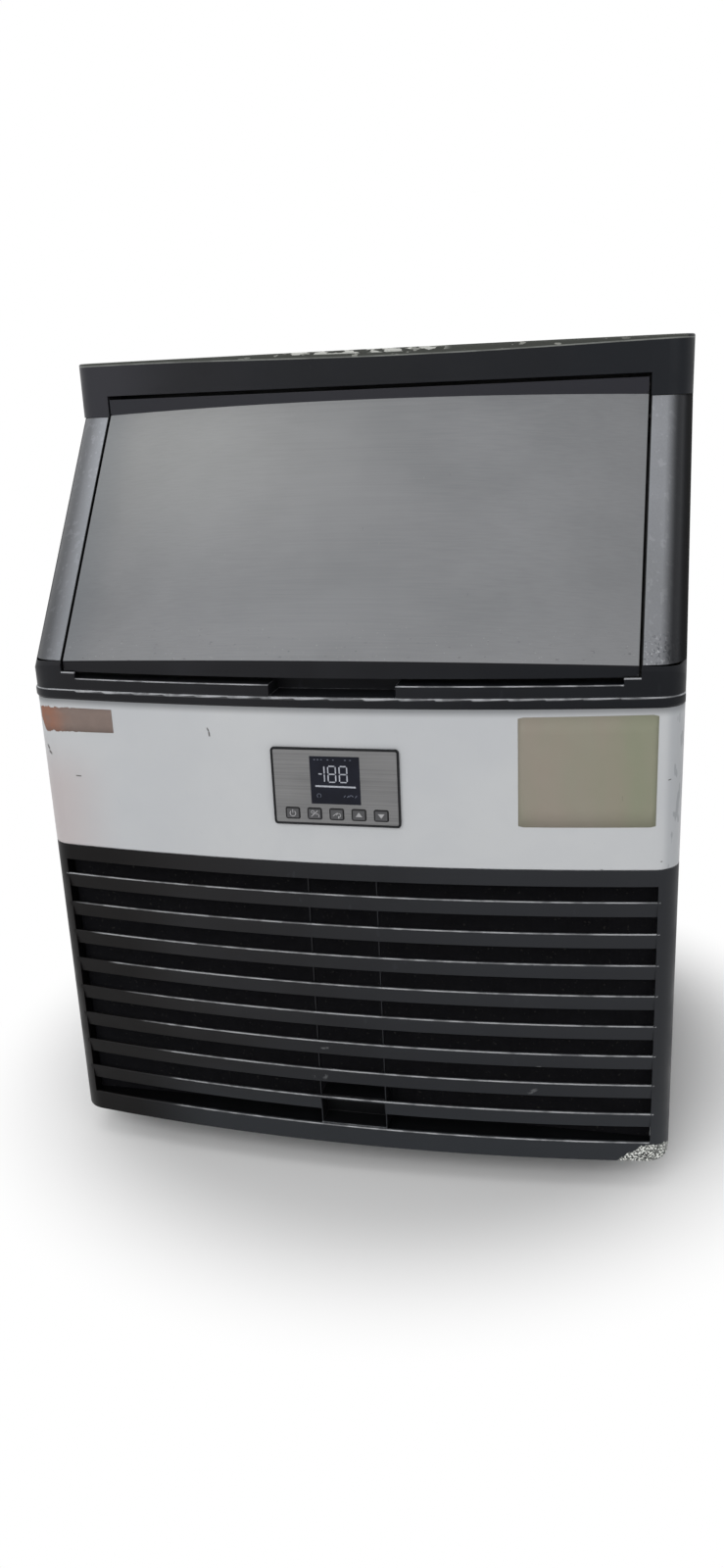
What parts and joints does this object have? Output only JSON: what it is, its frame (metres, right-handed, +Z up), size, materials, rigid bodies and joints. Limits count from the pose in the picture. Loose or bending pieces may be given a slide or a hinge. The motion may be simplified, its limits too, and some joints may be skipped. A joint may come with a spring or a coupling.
{
  "type": "ice maker",
  "caption": "Under-counter ice maker with a bowed front, sloping lift-up bin door, small display with keys, louvred grille and the refrigeration set inside.",
  "frame": {"origin": "centre of the footprint on the floor, under the feet", "axes": "+Z up, the front with the door faces -Y, +X to the right seen from the front"},
  "size_m": [0.66, 0.565, 0.85],
  "materials": {
    "side_steel": "satin",
    "galvanised": "satin",
    "white_sheet": "satin",
    "black_moulding": "satin",
    "door_steel": "satin",
    "pillar_steel": "satin",
    "liner_plastic": "satin",
    "white_plastic": "satin",
    "foam": "matte",
    "seal_rubber": "matte",
    "foot_rubber": "matte",
    "hose_rubber": "satin",
    "zinc": "satin",
    "grid_nickel": "satin",
    "copper": "satin",
    "brass": "satin",
    "clear_plastic": "gloss",
    "float_white": "matte",
    "pump_plastic": "matte",
    "compressor_black": "satin",
    "fins": "satin",
    "fan_metal": "satin",
    "blackened_steel": "satin",
    "motor_black": "matte",
    "box_steel": "satin",
    "fascia_brushed": "satin",
    "bezel_dark": "satin",
    "lens_navy": "gloss",
    "key_grey": "satin",
    "board_green": "satin",
    "filter_mesh": "matte"
  },
  "bodies": {
    "cabinet": {"base_pan": "galvanised", "right_side_panel": "side_steel", "left_side_panel": "side_steel", "back_panel": "galvanised", "back_screws": "zinc", "top_panel": "side_steel", "front_panel": "white_sheet", "header_fascia": "black_moulding", "sill_fascia": "black_moulding", "pillar_trims": "pillar_steel", "bin_liner": "liner_plastic", "bin_throat": "white_plastic", "bin_insulation": "foam", "drain_line": "hose_rubber", "evaporator_grid": "grid_nickel", "evaporator_coil": "copper", "evaporator_frame": "white_plastic", "water_distributor": "clear_plastic", "water_sump": "white_plastic", "pump_body": "pump_plastic", "pump_hose": "hose_rubber", "compressor": "compressor_black", "compressor_mounts": "foot_rubber", "condenser": "fins", "fan_shroud": "galvanised", "fan_motor": "motor_black", "discharge_line": "copper", "liquid_line": "copper", "suction_line": "copper", "hot_gas_valve": "brass", "water_inlet_valve": "white_plastic", "inlet_hose": "hose_rubber", "cable_gland": "pump_plastic", "control_box": "box_steel", "display_bezel": "bezel_dark", "display_fascia": "fascia_brushed", "display_lens": "lens_navy", "display_board": "board_green"},
    "door": {"door_skin": "door_steel", "door_top_rail": "black_moulding", "door_handle_rail": "black_moulding", "door_foam": "foam", "door_liner": "white_plastic", "door_gasket": "seal_rubber", "door_hinge_pins": "blackened_steel"},
    "ice_curtain": {"ice_curtain": "clear_plastic"},
    "fan": {"fan_blade": "fan_metal"},
    "pump_impeller": {"pump_impeller": "white_plastic"},
    "sump_float": {"sump_float": "float_white"},
    "grille": {"front_grille": "black_moulding", "dust_filter": "filter_mesh"},
    "key_power": {"key_power": "key_grey"},
    "key_mode": {"key_mode": "key_grey"},
    "key_set": {"key_set": "key_grey"},
    "key_up": {"key_up": "key_grey"},
    "key_down": {"key_down": "key_grey"},
    "foot_front_left": {"foot_front_left": "foot_rubber"},
    "foot_front_right": {"foot_front_right": "foot_rubber"},
    "foot_rear_left": {"foot_rear_left": "foot_rubber"},
    "foot_rear_right": {"foot_rear_right": "foot_rubber"}
  },
  "joints": [
    {"name": "door_hinge", "type": "hinge", "parent": "cabinet", "child": "door", "pos_m": [0, -0.076, 0.773], "axis": [-1, 0, 0], "range_deg": [0, 68]},
    {"name": "curtain_pivot", "type": "hinge", "parent": "cabinet", "child": "ice_curtain", "pos_m": [0, 0.0855, 0.797], "axis": [-1, 0, 0], "range_deg": [0, 35]},
    {"name": "fan_spin", "type": "hinge", "parent": "cabinet", "child": "fan", "pos_m": [-0.13, -0.156, 0.197], "axis": [0, 1, 0], "continuous": true},
    {"name": "impeller_spin", "type": "hinge", "parent": "cabinet", "child": "pump_impeller", "pos_m": [0.236, 0.135, 0.575], "axis": [0, 0, 1], "continuous": true},
    {"name": "float_rise", "type": "slide", "parent": "cabinet", "child": "sump_float", "axis": [0, 0, 1], "range_m": [0, 0.02]},
    {"name": "grille_pull", "type": "slide", "parent": "cabinet", "child": "grille", "axis": [0, -1, 0], "range_m": [0, 0.06]},
    {"name": "key_power_press", "type": "slide", "parent": "cabinet", "child": "key_power", "axis": [0, 1, 0], "range_m": [0, 0.0008], "stiffness_N_per_m": 600},
    {"name": "key_mode_press", "type": "slide", "parent": "cabinet", "child": "key_mode", "axis": [0, 1, 0], "range_m": [0, 0.0008], "stiffness_N_per_m": 600},
    {"name": "key_set_press", "type": "slide", "parent": "cabinet", "child": "key_set", "axis": [0, 1, 0], "range_m": [0, 0.0008], "stiffness_N_per_m": 600},
    {"name": "key_up_press", "type": "slide", "parent": "cabinet", "child": "key_up", "axis": [0, 1, 0], "range_m": [0, 0.0008], "stiffness_N_per_m": 600},
    {"name": "key_down_press", "type": "slide", "parent": "cabinet", "child": "key_down", "axis": [0, 1, 0], "range_m": [0, 0.0008], "stiffness_N_per_m": 600},
    {"name": "foot_front_left_turn", "type": "hinge", "parent": "cabinet", "child": "foot_front_left", "pos_m": [-0.285, -0.18, 0.03], "axis": [0, 0, 1], "continuous": true},
    {"name": "foot_front_right_turn", "type": "hinge", "parent": "cabinet", "child": "foot_front_right", "pos_m": [0.285, -0.18, 0.03], "axis": [0, 0, 1], "continuous": true},
    {"name": "foot_rear_left_turn", "type": "hinge", "parent": "cabinet", "child": "foot_rear_left", "pos_m": [-0.285, 0.222, 0.03], "axis": [0, 0, 1], "continuous": true},
    {"name": "foot_rear_right_turn", "type": "hinge", "parent": "cabinet", "child": "foot_rear_right", "pos_m": [0.285, 0.222, 0.03], "axis": [0, 0, 1], "continuous": true}
  ]
}
